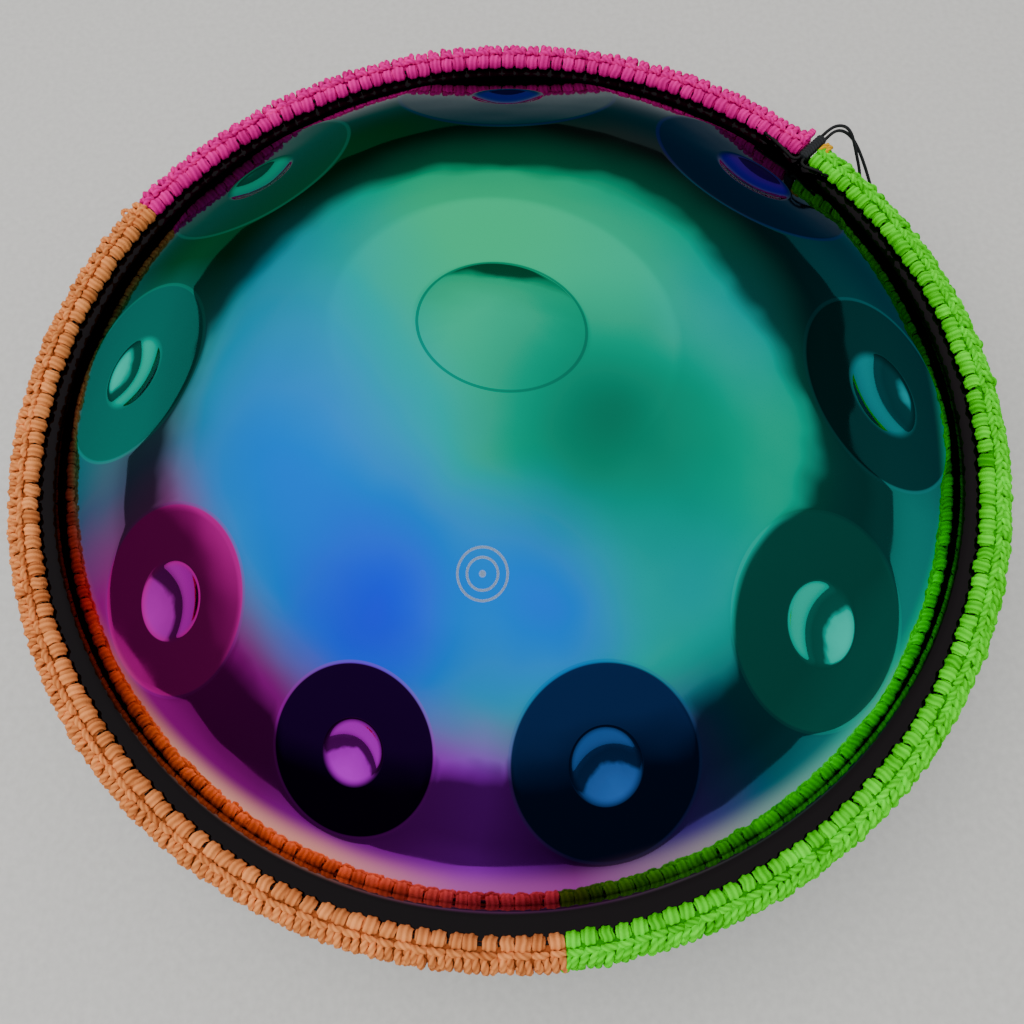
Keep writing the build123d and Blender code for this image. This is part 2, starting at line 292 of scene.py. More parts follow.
def closure_point(outwards, sideways, up):
    """A point given from the closure: outwards, towards the pink stretch, and up from the rim."""
    return Vector(rim_point(CLOSURE_AT, outwards, sideways, up))


def route_points(route):
    """Points along the smooth NURBS curve that has the route as its control points."""
    curve = bpy.data.curves.new("route", "CURVE")
    curve.dimensions = "3D"
    spline = curve.splines.new("NURBS")
    spline.points.add(len(route) - 1)
    for point, place in zip(spline.points, route):
        point.co = (*closure_point(*place), 1.0)
    spline.order_u = 3
    spline.use_endpoint_u = True
    spline.resolution_u = 24
    holder = bpy.data.objects.new("route", curve)
    bpy.context.scene.collection.objects.link(holder)
    mesh = bpy.data.meshes.new_from_object(holder)
    points = np.array([v.co for v in mesh.vertices])
    bpy.data.objects.remove(holder)
    bpy.data.meshes.remove(mesh)
    return points


def braided_cord(name, path, radius):
    """Black cord with a braid of crossing ridges round it, and a tapered tip."""
    lengths = np.linalg.norm(np.diff(path, axis=0), axis=1)
    along = np.concatenate([[0], np.cumsum(lengths)])
    steps = int(along[-1] / BRAID_STEP)
    place = np.linspace(0, along[-1], steps)
    even = np.stack([np.interp(place, along, path[:, k]) for k in range(3)], 1)
    radii = np.full((1, steps), radius * BRAID_CORE)
    radii[0, -len(TIP_TAPER):] *= TIP_TAPER
    points, quads, caps, _ = tubes(even[None], radii, BRAID_SIDES, relief=0.0)
    around = BRAID_RIDGES * np.tile(np.arange(BRAID_SIDES) * 2 * math.pi / BRAID_SIDES, steps)
    phase = BRAID_RIDGES * (np.repeat(place, BRAID_SIDES) * 2 * math.pi / BRAID_PITCH) / 2
    weave = np.maximum(np.cos(around + phase), np.cos(around - phase))
    centre = np.repeat(even, BRAID_SIDES, 0)
    points = centre + (points - centre) * (1 + BRAID_RELIEF * weave[:, None])
    # The weave goes into the shade attribute: painted sheen on the ridges, painted shade between them.
    return new_mesh(name, points, [quads, caps], shade=weave)


tail_paths = [route_points(route) for route in (LEFT_TAIL, RIGHT_TAIL)]
tails = []
for tail_name, path in zip(("left_tail", "right_tail"), tail_paths):
    tails.append(braided_cord(tail_name, path, CORD_R))


# ---------------------------------------------------------------- steel shells

def smooth_min(a, b, reach):
    """The lower of two heights, rounded where they cross."""
    mix = np.maximum(reach - np.abs(a - b), 0) / reach
    return np.minimum(a, b) - mix**2 * reach / 4


def smooth_max(a, b, reach):
    """The higher of two heights, rounded where they cross."""
    return -smooth_min(-a, -b, reach)


def skin_height(radius, lift=0.0):
    """Height above the rim of the plain dome, root fillet and flange; `lift` moves the skin outwards."""
    dome_r, fillet_r = DOME_R + lift, ROOT_FILLET - lift
    tangent = TANGENT_R * dome_r / DOME_R
    dome = DOME_CENTRE + np.sqrt(np.maximum(dome_r**2 - radius**2, 0))
    fillet = ROOT_HEIGHT - np.sqrt(np.maximum(fillet_r**2 - (FLANGE_ROOT_R - radius) ** 2, 0))
    return np.select([radius < tangent, radius < FLANGE_ROOT_R], [dome, fillet], FLANGE_HALF + lift)


def field_axes(direction):
    """Down-slope, sideways and outward directions at a tone field."""
    turn = math.radians(direction)
    lean = math.asin(FIELD_AXIS_R / DOME_R)
    down = (math.cos(turn) * math.cos(lean), math.sin(turn) * math.cos(lean), -math.sin(lean))
    sideways = (-math.sin(turn), math.cos(turn), 0.0)
    outward = (math.cos(turn) * math.sin(lean), math.sin(turn) * math.sin(lean), math.cos(lean))
    return np.array([down, sideways, outward])


def centre_axes():
    """Long, short and upward directions of the centre note."""
    turn = math.radians(CENTRE_TURN)
    return np.array([(math.cos(turn), math.sin(turn), 0), (-math.sin(turn), math.cos(turn), 0), (0, 0, 1)])


def oval(u, v, half_u, half_v):
    """1 on the oval with those half widths, and less within it."""
    return (u / half_u) ** 2 + (v / half_v) ** 2


def flattened(u, v, half_u, half_v):
    """Heights from the dome's centre: the dome itself, the flattened oval, and its level in the middle."""
    bend = DOME_R * half_u**2 / (half_u**2 - half_v**2)
    level = math.sqrt(DOME_R**2 - half_v**2)
    dome = np.sqrt(DOME_R**2 - u**2 - v**2)
    plate = level - bend + np.sqrt(bend**2 - u**2)
    return dome, plate, level


def field_sink(u, v, half_width, dimple):
    """How far a tone field lies below the dome."""
    dome, plate, level = flattened(u, v, half_width * FIELD_STRETCH, half_width)
    dish = level - DIMPLE_DEPTH * (1 - oval(u, v, dimple * DIMPLE_STRETCH, dimple))
    return smooth_min(smooth_min(dome, plate, CREASE), dish, DIMPLE_CREASE) - dome


def centre_sink(u, v):
    """How far the centre note lies below, or above, the dome."""
    dome, plate, level = flattened(u, v, *CENTRE_HALF)
    low = level + LOW_DOME[2] * (1 - oval(u, v, *LOW_DOME[:2]))
    high = level + HIGH_BASE + HIGH_DOME[2] * (1 - oval(u, v, *HIGH_DOME[:2]))
    flat = smooth_min(dome, plate, CREASE)
    return smooth_max(smooth_max(flat, low, DIMPLE_CREASE), high, DIMPLE_CREASE) - dome


def shell_points(plan, lift=0.0):
    """The top shell's skin over plan points, with every note hammered into it."""
    radius = np.hypot(plan[:, 0], plan[:, 1])
    points = np.column_stack([plan, skin_height(radius, lift)])
    fade = 1 - np.clip((radius - TANGENT_R) / NOTE_FADE, 0, 1)
    rest = points - (0, 0, DOME_CENTRE)
    notes = [(field_axes(turn), lambda u, v, h=half, d=dimple: field_sink(u, v, h, d), half * FIELD_REACH)
             for turn, half, dimple in FIELDS]
    notes.append((centre_axes(), centre_sink, CENTRE_HALF[0] * CENTRE_REACH))
    for axes, sink, reach in notes:
        u, v, away = (rest @ axes.T).T
        near = (np.hypot(u, v) < reach) & (away > 0)
        drop = sink(u[near], v[near]) * fade[near]
        points[near] += drop[:, None] * axes[2]
    return points


def shell_normals(plan, lift=0.0):
    """Outward normals, from how the surface changes over a short step."""
    step = 0.00005
    slopes = []
    for shift in ((step, 0), (0, step)):
        slopes.append(shell_points(plan + shift, lift) - shell_points(plan - np.array(shift), lift))
    normals = np.cross(slopes[0], slopes[1])
    return normals / np.linalg.norm(normals, axis=1, keepdims=True)


def oval_ring(axes, half_u, half_v, shift, spacing):
    """Plan points of an oval ring on the dome, `shift` outside the oval with those half widths."""
    a, b = half_u + shift, half_v + shift
    count = int(math.pi * (a + b) / spacing)
    turn = np.arange(count) * 2 * math.pi / count
    u, v = a * np.cos(turn), b * np.sin(turn)
    points = (u[:, None] * axes[0] + v[:, None] * axes[1]
              + np.sqrt(DOME_R**2 - u**2 - v**2)[:, None] * axes[2])
    return points[:, :2]


def crease_ovals():
    """Every crease of the top shell: its axes, half widths, ring offsets and point spacing."""
    ovals = []
    for turn, half, dimple in FIELDS:
        axes = field_axes(turn)
        ovals.append((axes, half * FIELD_STRETCH, half, WIDE_RINGS, WIDE_SPACING))
        ovals.append((axes, dimple * DIMPLE_STRETCH, dimple, NARROW_RINGS, NARROW_SPACING))
    ovals.append((centre_axes(), *CENTRE_HALF, WIDE_RINGS, WIDE_SPACING))
    for dome in (LOW_DOME, HIGH_DOME):
        ovals.append((centre_axes(), *dome[:2], NARROW_RINGS, NARROW_SPACING))
    return ovals


def hex_grid(spacing, reach):
    """Plan points in a honeycomb out to `reach`."""
    rows = int(reach / spacing / HEX_ROW) + 2
    columns = int(reach / spacing) + 2
    row, column = np.mgrid[-rows:rows + 1, -columns:columns + 1]
    x = (column + 0.5 * (row % 2)) * spacing
    y = row * spacing * HEX_ROW
    grid = np.column_stack([x.ravel(), y.ravel()])
    return grid[np.hypot(grid[:, 0], grid[:, 1]) < reach]


def clear_of_rings(grid, ovals):
    """The grid points that aren't within a crease's rings."""
    points = np.column_stack([grid, skin_height(np.hypot(grid[:, 0], grid[:, 1])) - DOME_CENTRE])
    keep = np.ones(len(grid), bool)
    for axes, half_u, half_v, shifts, spacing in ovals:
        u, v, away = (points @ axes.T).T
        inner = oval(u, v, half_u + shifts[0] - spacing, half_v + shifts[0] - spacing)
        outer = oval(u, v, half_u + shifts[-1] + spacing, half_v + shifts[-1] + spacing)
        keep &= (inner < 1) | (outer > 1) | (away < 0)
    return grid[keep]


def plan_triangles(plan):
    """Delaunay triangles over plan points, and the points in the order that they use."""
    found = delaunay_2d_cdt([Vector(p) for p in plan], [], [], 0, 1e-7)
    triangles = np.array([f for f in found[2]])
    points = np.array(found[0])
    a, b, c = (points[triangles[:, k]] for k in range(3))
    turned = np.cross(b - a, c - a) < 0
    triangles[turned] = triangles[turned][:, ::-1]
    return points, triangles


def rim_circle(radius):
    """Plan points of a circle round the axis."""
    turn = np.arange(RIM_SEGMENTS) * 2 * math.pi / RIM_SEGMENTS
    return np.column_stack([radius * np.cos(turn), radius * np.sin(turn)])


def top_shell():
    """Closed sheet: outer skin with its creases, a plainer inner skin, and the flange's edge."""
    ovals = crease_ovals()
    rings = [oval_ring(axes, a, b, shift, spacing) for axes, a, b, shifts, spacing in ovals
             for shift in shifts]
    grid = clear_of_rings(hex_grid(*OUTER_GRID), ovals)
    circles = [rim_circle(radius) for radius in OUTER_CIRCLES]
    outer_plan, outer = plan_triangles(np.concatenate([grid, *rings, *circles]))
    circles = [rim_circle(radius) for radius in INNER_CIRCLES]
    inner_plan, inner = plan_triangles(np.concatenate([hex_grid(*INNER_GRID), *circles]))
    points = np.concatenate([shell_points(outer_plan), shell_points(inner_plan, -SHEET)])
    normals = np.concatenate([shell_normals(outer_plan), -shell_normals(inner_plan, -SHEET)])
    shift = len(outer_plan)
    edge = [edge_loop(outer_plan), edge_loop(inner_plan) + shift]
    strip = np.column_stack([edge[0], edge[1], np.roll(edge[1], -1), np.roll(edge[0], -1)])
    points[:, 2] += RIM_Z
    return new_mesh("top_shell_skin", points, [outer, inner[:, ::-1] + shift, strip], normals=normals)


def edge_loop(plan):
    """Indices of the outermost points, in order round the rim."""
    radius = np.hypot(plan[:, 0], plan[:, 1])
    found = np.flatnonzero(radius > FLANGE_R - 1e-5)
    return found[np.argsort(np.arctan2(plan[found, 1], plan[found, 0]))]


def arc_points(centre, radius, start, end, count):
    """Profile points along an arc, from one direction to another in degrees."""
    turn = np.radians(np.linspace(start, end, count))
    return np.column_stack([centre[0] + radius * np.cos(turn), centre[1] + radius * np.sin(turn)])


def bottom_shell():
    """Plain dome, rounded lip and neck of the sound port, turned round the axis."""
    centre_z = RIM_Z - DOME_CENTRE
    root = (FLANGE_ROOT_R, RIM_Z - ROOT_HEIGHT)
    lean = math.degrees(math.atan2(ROOT_HEIGHT - DOME_CENTRE, FLANGE_ROOT_R))
    lip = (PORT_R + PORT_LIP, FLOOR_Z + PORT_LIP)
    lip_turn = math.degrees(math.atan2(lip[1] - centre_z, lip[0]))
    top = lip[1] + PORT_NECK
    outer = [
        [(FLANGE_R, RIM_Z - FLANGE_HALF)],
        arc_points(root, ROOT_FILLET, 90, 180 - lean, 14),
        arc_points((0, centre_z), DOME_R, -lean, lip_turn, 90),
        arc_points(lip, PORT_LIP, lip_turn, -180, 30),
        [(PORT_R, top - 0.0005), (PORT_R + 0.0001, top - 0.0001)],
    ]
    inner = [
        [(PORT_R + SHEET - 0.0001, top - 0.0001), (PORT_R + SHEET, top - 0.0005)],
        arc_points(lip, PORT_LIP - SHEET, -180, lip_turn, 20),
        arc_points((0, centre_z), DOME_R - SHEET, lip_turn, -lean, 40),
        arc_points(root, ROOT_FILLET + SHEET, 180 - lean, 90, 8),
        [(FLANGE_R, RIM_Z - FLANGE_HALF + SHEET)],
    ]
    return turned("bottom_shell_skin", np.concatenate(outer + inner), 360)


def turned(name, profile, segments, start=0.0, end=360.0):
    """Closed profile of (radius, height) turned round the upright axis."""
    whole = end - start >= 360
    turn = np.radians(np.linspace(start, end, segments, endpoint=not whole))[:, None]
    radius, height = profile[:, 0][None, :], profile[:, 1][None, :]
    points = np.stack([radius * np.cos(turn), radius * np.sin(turn),
                       height + 0 * turn], -1).reshape(-1, 3)
    count = len(profile)
    faces = [grid_faces(segments, count, close_rows=whole)]
    if not whole:
        cap = np.arange(count)
        faces.append(np.array([cap, (segments - 1) * count + cap[::-1]]))
    piece = new_mesh(name, points, faces)
    piece.data.set_sharp_from_angle(angle=SHARP_ANGLE)
    return piece


# ---------------------------------------------------------------- knotted rim cover

MM = 0.001
KNOT_PITCH = 0.0080
COVER_MIDDLE_R = 0.2675
CLOSURE_GAP = 0.0084
SEAM_GAP = 0.0001
PINK_END = 143.0
TERRACOTTA_END = 273.4

# One knot's cords in millimetres: outwards from the axis, sideways and up from the rim, then the
# cord's radius, points along it and twists.
INNER_BLOCK = ([(260.7, 0, 1.4), (260.5, 0, 3.8), (261.8, 0, 5.9), (263.8, 0, 6.3), (265.6, 0, 4.6)],
               1.85, 14, 0.1)
CROSS_BAR = ([(267.6, -3.5, 4.8), (267.7, -2.2, 6.5), (267.9, 0, 7.1), (267.7, 2.2, 6.5), (267.6, 3.5, 4.8)],
             1.65, 13, 1.0)
OUTER_LOBE = ([(268.6, 0, 4.6), (270.6, 0, 6.2), (273.0, 0, 5.2), (274.3, 0, 1.8), (273.9, 0, -2.4),
               (271.6, 0, -5.2)], 1.75, 20, 1.5)
# The sleeve of cord behind the knots: radius and height of its upper half, and its slot over the flange.
SLEEVE = [(261.9, 1.6), (262.6, 4.2), (266.0, 5.3), (270.5, 4.6), (273.0, 2.2), (273.4, 0)]
SLEEVE_SLOT = [(265.1, -1.55), (265.1, 1.55)]
LOBE_SIDES = (-1.85, 1.85)


def knot_cords(template, side, level, centres, looseness, widen=1.0, plies=3, sides=12, relief=0.12):
    """One cord of every knot, shifted `side` along the rim; `level` is 1 above the flange and -1 below."""
    route, radius, steps, turns = template
    control = np.array(route) * (1, 1, level)
    shift = np.array([0, side, 0])
    wander = rng.normal(0, looseness, (len(centres), 1, 3))
    wander = wander + rng.normal(0, looseness / 2, (len(centres), len(route), 3))
    paths = smooth_path((control + shift)[None] + wander, steps)
    radii = radius * rng.normal(1, 0.05, (len(centres), 1)) * rounded_ends(steps)[None]
    start = rng.uniform(0, 2 * math.pi, len(centres))
    points, quads, caps, wave = tubes(paths * MM, radii * MM, sides, plies, turns, relief, start)
    points[:, 1] = side * MM + (points[:, 1] - side * MM) * widen
    per_unit = len(points) // len(centres)
    turn = np.repeat(np.radians(centres), per_unit) + points[:, 1] / COVER_MIDDLE_R
    bent = np.column_stack([points[:, 0] * np.cos(turn), points[:, 0] * np.sin(turn), RIM_Z + points[:, 2]])
    tone = np.repeat(rng.normal(0, 0.12, len(centres)), per_unit)
    return bent, quads, caps, painted_groove_shade(wave) + tone


def joined(name, parts):
    """One piece from several (points, quads, caps, shade) groups."""
    points, quads, caps, shade, shift = [], [], [], [], 0
    for part in parts:
        points.append(part[0])
        quads.append(part[1] + shift)
        caps.append(part[2] + shift)
        shade.append(part[3])
        shift += len(part[0])
    faces = [np.concatenate(quads), *caps]
    return new_mesh(name, np.concatenate(points), faces, shade=np.concatenate(shade))


def slanted(template, slant):
    """The same cord with its outer end shifted `slant` along the rim."""
    route, *rest = template
    return ([(r, a + slant * (r - 268.0) / 6, z) for r, a, z in route], *rest)


def knotted_cover(colour, start, end, slant):
    """Upper and lower knots of one colour's stretch, and the sleeve of cord behind them."""
    count = round(math.radians(end - start) * COVER_MIDDLE_R / KNOT_PITCH)
    centres = start + (np.arange(count) + 0.5) * (end - start) / count
    upper, lower = [], []
    for row, level in ((upper, 1), (lower, -1)):
        row.append(knot_cords(INNER_BLOCK, 0, level, centres, 0.22, 1.9, plies=6, sides=24, relief=0.15))
        row.append(knot_cords(CROSS_BAR, 0, level, centres, 0.25))
    for side in LOBE_SIDES:
        upper.append(knot_cords(slanted(OUTER_LOBE, slant), side, 1, centres, 0.40))
        lower.append(knot_cords(OUTER_LOBE, side, -1, centres, 0.30))
    pieces = [joined(f"{colour}_knots_upper", upper), joined(f"{colour}_knots_lower", lower)]
    profile = SLEEVE + [(r, -z) for r, z in SLEEVE[-2::-1]] + SLEEVE_SLOT
    profile = np.array([(r * MM, RIM_Z + z * MM) for r, z in profile])
    pieces.append(turned(f"{colour}_sleeve", profile[::-1], count * 2, start, end))
    return pieces


# ---------------------------------------------------------------- closure knot and cord ends

KNOT_START = 0.259
KNOT_LENGTH = 0.0207
KNOT_HALF = (0.0033, 0.0024)
KNOT_LEVEL = 0.004
BAR_STEP = 0.00016
BAR_SIDES = 48
BAR_END = 0.0012
# Points along each loose cord, and points round it.
LOOSE_STEPS = 26
LOOSE_SIDES = 14


def ribbed_bar(name, origin, ahead, length, half, rib, slant, depth=0.16):
    """Closed bar of wound cord: ribs across it, swept into a V by `slant`, with rounded ends."""
    ahead, up = Vector(ahead).normalized(), Vector((0, 0, 1))
    side = up.cross(ahead)
    rows, sides = int(length / BAR_STEP), BAR_SIDES
    along = np.linspace(0, length, rows)
    turn = np.arange(sides) * 2 * math.pi / sides
    square = (np.abs(np.cos(turn)) ** 4 + np.abs(np.sin(turn)) ** 4) ** -0.25
    width, height = half[0] * square * np.cos(turn), half[1] * square * np.sin(turn)
    phase = (along[:, None] + slant * np.abs(width)[None, :]) / rib
    ridge = np.abs(np.sin(math.pi * phase))
    end = np.clip(np.minimum(along, length - along) / BAR_END, 0, 1)
    size = (1 - depth * (1 - ridge)) * np.sqrt(1 - (1 - end[:, None]) ** 2 * 0.8)
    points = (np.array(origin)[None, None] + along[:, None, None] * np.array(ahead)
              + (width * size)[..., None] * np.array(side) + (height * size)[..., None] * np.array(up))
    caps = np.array([np.arange(sides)[::-1], (rows - 1) * sides + np.arange(sides)])
    # Shade attribute: light on each rib's crest, dark in its valley, as painted shade between the ribs.
    return new_mesh(name, points.reshape(-1, 3), [grid_faces(rows, sides), caps],
                    shade=(0.15 + 0.7 * ridge).ravel())


def closure_knot():
    """The sliding knot, from the flange's edge outwards over the cover."""
    start = closure_point(KNOT_START, 0, KNOT_LEVEL)
    end = closure_point(KNOT_START + KNOT_LENGTH, 0, KNOT_LEVEL)
    return ribbed_bar("woven_closure_knot", start, end - start, KNOT_LENGTH, KNOT_HALF, 0.0021, 0.45)


def loose_cords(name, direction, routes, radius, turns):
    """Short twisted cords, each with its own route of (outwards, sideways, up) in millimetres."""
    parts = []
    for route in routes:
        control = np.array([rim_point(direction, r * MM, a * MM, z * MM) for r, a, z in route])
        path = smooth_path(control[None], LOOSE_STEPS)
        radii = radius * MM * rounded_ends(LOOSE_STEPS)[None]
        points, quads, caps, wave = tubes(path, radii, LOOSE_SIDES, turns=turns)
        parts.append((points, quads, caps, painted_groove_shade(wave)))
    return joined(name, parts)


def pink_cord_end():
    """Pink cord's end, whipped with cord of its own colour."""
    start, end = (Vector(rim_point(44.0, r, 0.0006, z)) for r, z in ((0.268, 0.003), (0.281, 0.0036)))
    return ribbed_bar("pink_whipped_end", start, end - start, (end - start).length,
                      (0.0022, 0.0020), 0.0017, 0.0, depth=0.22)


def golden_cord_end():
    """Two golden cords beside the closure."""
    routes = [[(268, a, 4.6), (271, a * 1.2, 6.4), (274.2, a, 6.4), (277.0, a * 0.8, 5.0)]
              for a in (-1.3, 1.3)]
    return loose_cords("golden_twisted_end", 41.0, routes, 1.5, 1.0)


def terracotta_cord_end():
    """Small loop where terracotta meets pink."""
    loop = [(269.0, -1.3, 3.4), (273.5, -1.7, 4.2), (277.4, -1.6, 3.8), (279.0, 0.2, 3.3), (277.2, 1.7, 2.7),
            (273.5, 1.5, 2.4), (269.0, 1.2, 1.8)]
    return loose_cords("terracotta_looped_end", 145.0, [loop], 1.15, 3.0)


def lime_cord_end():
    """Two lime cords hanging where lime meets terracotta."""
    routes = [[(270.0, a, -2.0), (273.2, a * 1.1, -3.4), (275.2, a * 1.3, -5.4), (275.6, a * 1.5, -7.4)]
              for a in (-1.2, 1.0)]
    return loose_cords("lime_frayed_end", 274.6, routes, 1.35, 1.2)


# ---------------------------------------------------------------- materials

def new_material(name):
    """A material with its node tree and its Principled shader."""
    material = bpy.data.materials.new(name)
    material.use_nodes = True
    shader = material.node_tree.nodes["Principled BSDF"]
    return material, material.node_tree, shader


def add(tree, kind, inputs=None, **settings):
    """A node with its settings and its input values or links."""
    node = tree.nodes.new(kind)
    for key, value in settings.items():
        setattr(node, key, value)
    for key, value in (inputs or {}).items():
        if isinstance(value, bpy.types.NodeSocket):
            tree.links.new(value, node.inputs[key])
        else:
            node.inputs[key].default_value = value
    return node


def mixed(tree, factor, first, second):
    """Colour between two colours; each may be a value or a socket."""
    node = tree.nodes.new("ShaderNodeMix")
    node.data_type = "RGBA"
    for socket, value in ((node.inputs[0], factor), (node.inputs[6], first), (node.inputs[7], second)):
        if isinstance(value, bpy.types.NodeSocket):
            tree.links.new(value, socket)
        else:
            socket.default_value = value if isinstance(value, (int, float)) else (*value, 1.0)
    return node.outputs[2]


def scalar(tree, operation, *values):
    """Result of a Math node on values or sockets."""
    return add(tree, "ShaderNodeMath", dict(enumerate(values)), operation=operation).outputs[0]


def vector(tree, operation, *values):
    """Vector that a Vector Math node gives."""
    return add(tree, "ShaderNodeVectorMath", dict(enumerate(values)), operation=operation).outputs["Vector"]


def measure(tree, operation, *values):
    """Number that a Vector Math node gives."""
    return add(tree, "ShaderNodeVectorMath", dict(enumerate(values)), operation=operation).outputs["Value"]


def remapped(tree, value, start, end, low, high):
    """A value carried over from one range to another."""
    return add(tree, "ShaderNodeMapRange", {"Value": value, "From Min": start, "From Max": end,
                                            "To Min": low, "To Max": high}).outputs["Result"]


def fill_ramp(ramp, stops):
    """Gives a colour ramp its stops, each a place and a colour."""
    while len(ramp.color_ramp.elements) < len(stops):
        ramp.color_ramp.elements.new(0.5)
    for element, (place, colour) in zip(ramp.color_ramp.elements, stops):
        element.position = place
        element.color = (*colour, 1.0)


def noise(tree, place, scale, detail=3.0):
    return add(tree, "ShaderNodeTexNoise", {"Vector": place, "Scale": scale, "Detail": detail})


def object_place(tree):
    return tree.nodes.new("ShaderNodeTexCoord").outputs["Object"]


def cotton(name, dark, light):
    """Twisted cotton cord: darker in its grooves with painted shade, fuzzy with fibres."""
    material, tree, shader = new_material(name)
    place = object_place(tree)
    shade = add(tree, "ShaderNodeAttribute", attribute_name="shade").outputs["Fac"]
    # Painted shade: the dark colour in the grooves between plies, the light colour on them, with each knot's
    # random tone added on the knots.
    colour = mixed(tree, shade, dark, light)
    patches = noise(tree, place, 120.0).outputs["Fac"]
    tone = remapped(tree, patches, 0.3, 0.7, 0.86, 1.1)
    toned = add(tree, "ShaderNodeVectorMath", {0: colour, "Scale": tone}, operation="SCALE").outputs[0]
    tree.links.new(toned, shader.inputs["Base Color"])
    fibres = noise(tree, place, 1900.0, 4.0).outputs["Fac"]
    bump = add(tree, "ShaderNodeBump", {"Height": fibres, "Strength": 0.8, "Distance": 0.0005})
    tree.links.new(bump.outputs[0], shader.inputs["Normal"])
    shader.inputs["Roughness"].default_value = 0.88
    shader.inputs["Sheen Weight"].default_value = 0.10
    shader.inputs["Sheen Tint"].default_value = (*light, 1.0)
    shader.inputs["Specular IOR Level"].default_value = 0.1
    return material


def black_cord():
    """Braided black cord with a painted sheen on its ridges and painted shade between them."""
    material, tree, shader = new_material("braided_black_cord")
    place = object_place(tree)
    shade = add(tree, "ShaderNodeAttribute", attribute_name="shade").outputs["Fac"]
    flecks = noise(tree, place, 1500.0).outputs["Fac"]
    # Painted sheen and shade: lighter on the braid's ridges, near black between them.
    colour = mixed(tree, shade, (0.001, 0.0012, 0.0015), (0.026, 0.030, 0.036))
    flecked = mixed(tree, flecks, (0.003, 0.0035, 0.004), colour)
    tree.links.new(flecked, shader.inputs["Base Color"])
    weave = add(tree, "ShaderNodeTexWave",
                {"Vector": place, "Scale": 260.0, "Distortion": 1.5, "Detail": 2.0}).outputs["Fac"]
    bump = add(tree, "ShaderNodeBump", {"Height": weave, "Strength": 0.3, "Distance": 0.0002})
    tree.links.new(bump.outputs[0], shader.inputs["Normal"])
    shader.inputs["Roughness"].default_value = 0.6
    shader.inputs["Specular IOR Level"].default_value = 0.3
    return material


def adhesive():
    """Cured clear adhesive, milky with small bubbles."""
    material, tree, shader = new_material("clear_adhesive")
    bubbles = noise(tree, object_place(tree), 700.0).outputs["Fac"]
    colour = mixed(tree, bubbles, (0.50, 0.48, 0.42), (0.72, 0.70, 0.64))
    tree.links.new(colour, shader.inputs["Base Color"])
    shader.inputs["Roughness"].default_value = 0.4
    return material


# The coating's colour by place. In the middle of the dome: sideways, away from the player, reach, colour.
COATING_MIDDLE = (0.00, 0.46, 0.28)
COATING_SPOTS = [
    (0.00, 0.060, 0.110, (0.00, 0.54, 0.22)),
    (-0.120, 0.030, 0.105, (0.00, 0.33, 0.50)),
    (-0.100, -0.060, 0.105, (0.00, 0.20, 0.90)),
    (-0.060, -0.125, 0.085, (0.00, 0.03, 1.00)),
    (0.010, -0.125, 0.070, (0.00, 0.16, 0.85)),
    (0.075, -0.115, 0.065, (0.00, 0.36, 0.36)),
    (0.046, -0.050, 0.085, (0.00, 0.17, 0.10)),
    (0.115, 0.010, 0.060, (0.00, 0.42, 0.38)),
]
# How far the colours wander from a plain outline.
COATING_DRIFT = (0.025, 0.025, 0.0)
# Around the outside of the dome, and at its root: direction in degrees, colour. Round the outside they are
# the coating's hues, dimmed on the far side as a painted dark reflection of the ground.
WALL_TINTS_AND_REFLECTION = [
    (0, (0.00, 0.12, 0.13)), (20, (0.02, 0.10, 0.11)), (45, (0.06, 0.07, 0.07)),
    (65, (0.06, 0.07, 0.06)), (87, (0.04, 0.07, 0.05)), (110, (0.02, 0.09, 0.04)),
    (135, (0.01, 0.12, 0.05)), (155, (0.01, 0.14, 0.06)), (176, (0.05, 0.40, 0.36)),
    (193, (0.10, 0.14, 0.26)), (205, (0.34, 0.02, 0.24)), (222, (0.26, 0.00, 0.20)),
    (236, (0.22, 0.00, 0.20)), (252, (0.30, 0.00, 0.42)), (264, (0.36, 0.00, 0.68)),
    (276, (0.05, 0.00, 0.10)), (290, (0.07, 0.04, 0.30)), (301, (0.00, 0.15, 0.20)),
    (318, (0.00, 0.28, 0.24)), (340, (0.00, 0.28, 0.25)),
]
# At the root the tints are partly the coating's hues and partly a painted reflection of the cover: reddish
# orange where the terracotta cord runs, green where the lime runs.
ROOT_TINTS_AND_COVER_REFLECTION = [
    (0, (0.04, 0.34, 0.27)), (30, (0.12, 0.28, 0.13)), (60, (0.13, 0.12, 0.10)),
    (95, (0.10, 0.14, 0.10)), (130, (0.10, 0.22, 0.12)), (160, (0.18, 0.28, 0.18)),
    (182, (0.40, 0.20, 0.26)), (202, (0.62, 0.10, 0.18)), (216, (0.62, 0.22, 0.14)),
    (228, (0.90, 0.40, 0.30)), (246, (0.90, 0.34, 0.30)), (262, (0.55, 0.12, 0.50)),
    (276, (0.34, 0.05, 0.34)), (290, (0.34, 0.30, 0.36)), (310, (0.08, 0.56, 0.44)),
    (335, (0.04, 0.78, 0.34)),
]
# Radii between which each of them, and the flange's painted dark edge, takes over; the dark edge is painted
# shadow and dark reflection under the cover.
WALL_REACH = (0.128, 0.165)
WALL_SHIFT = (0.0, 0.030, 0.0)
ROOT_REACH = (0.228, 0.240)
FLANGE_SHADE_REACH = (0.2455, 0.2505)
FLANGE_PAINTED_SHADE = (0.013, 0.011, 0.012)
# Thin lines round the notes, painted reflections where the creases catch light and dark: width, share of it
# at full strength, how strongly they show, and colour.
PAINTED_CREASE_WIDTH = 0.022
LINE_CORE = 0.6
FIELD_CREASE_REFLECTION_SHARE = 0.28
CENTRE_CREASE_REFLECTION_SHARE = 0.55
CENTRE_CREASE_REFLECTION_TINT = (0.0, 0.10, 0.07)
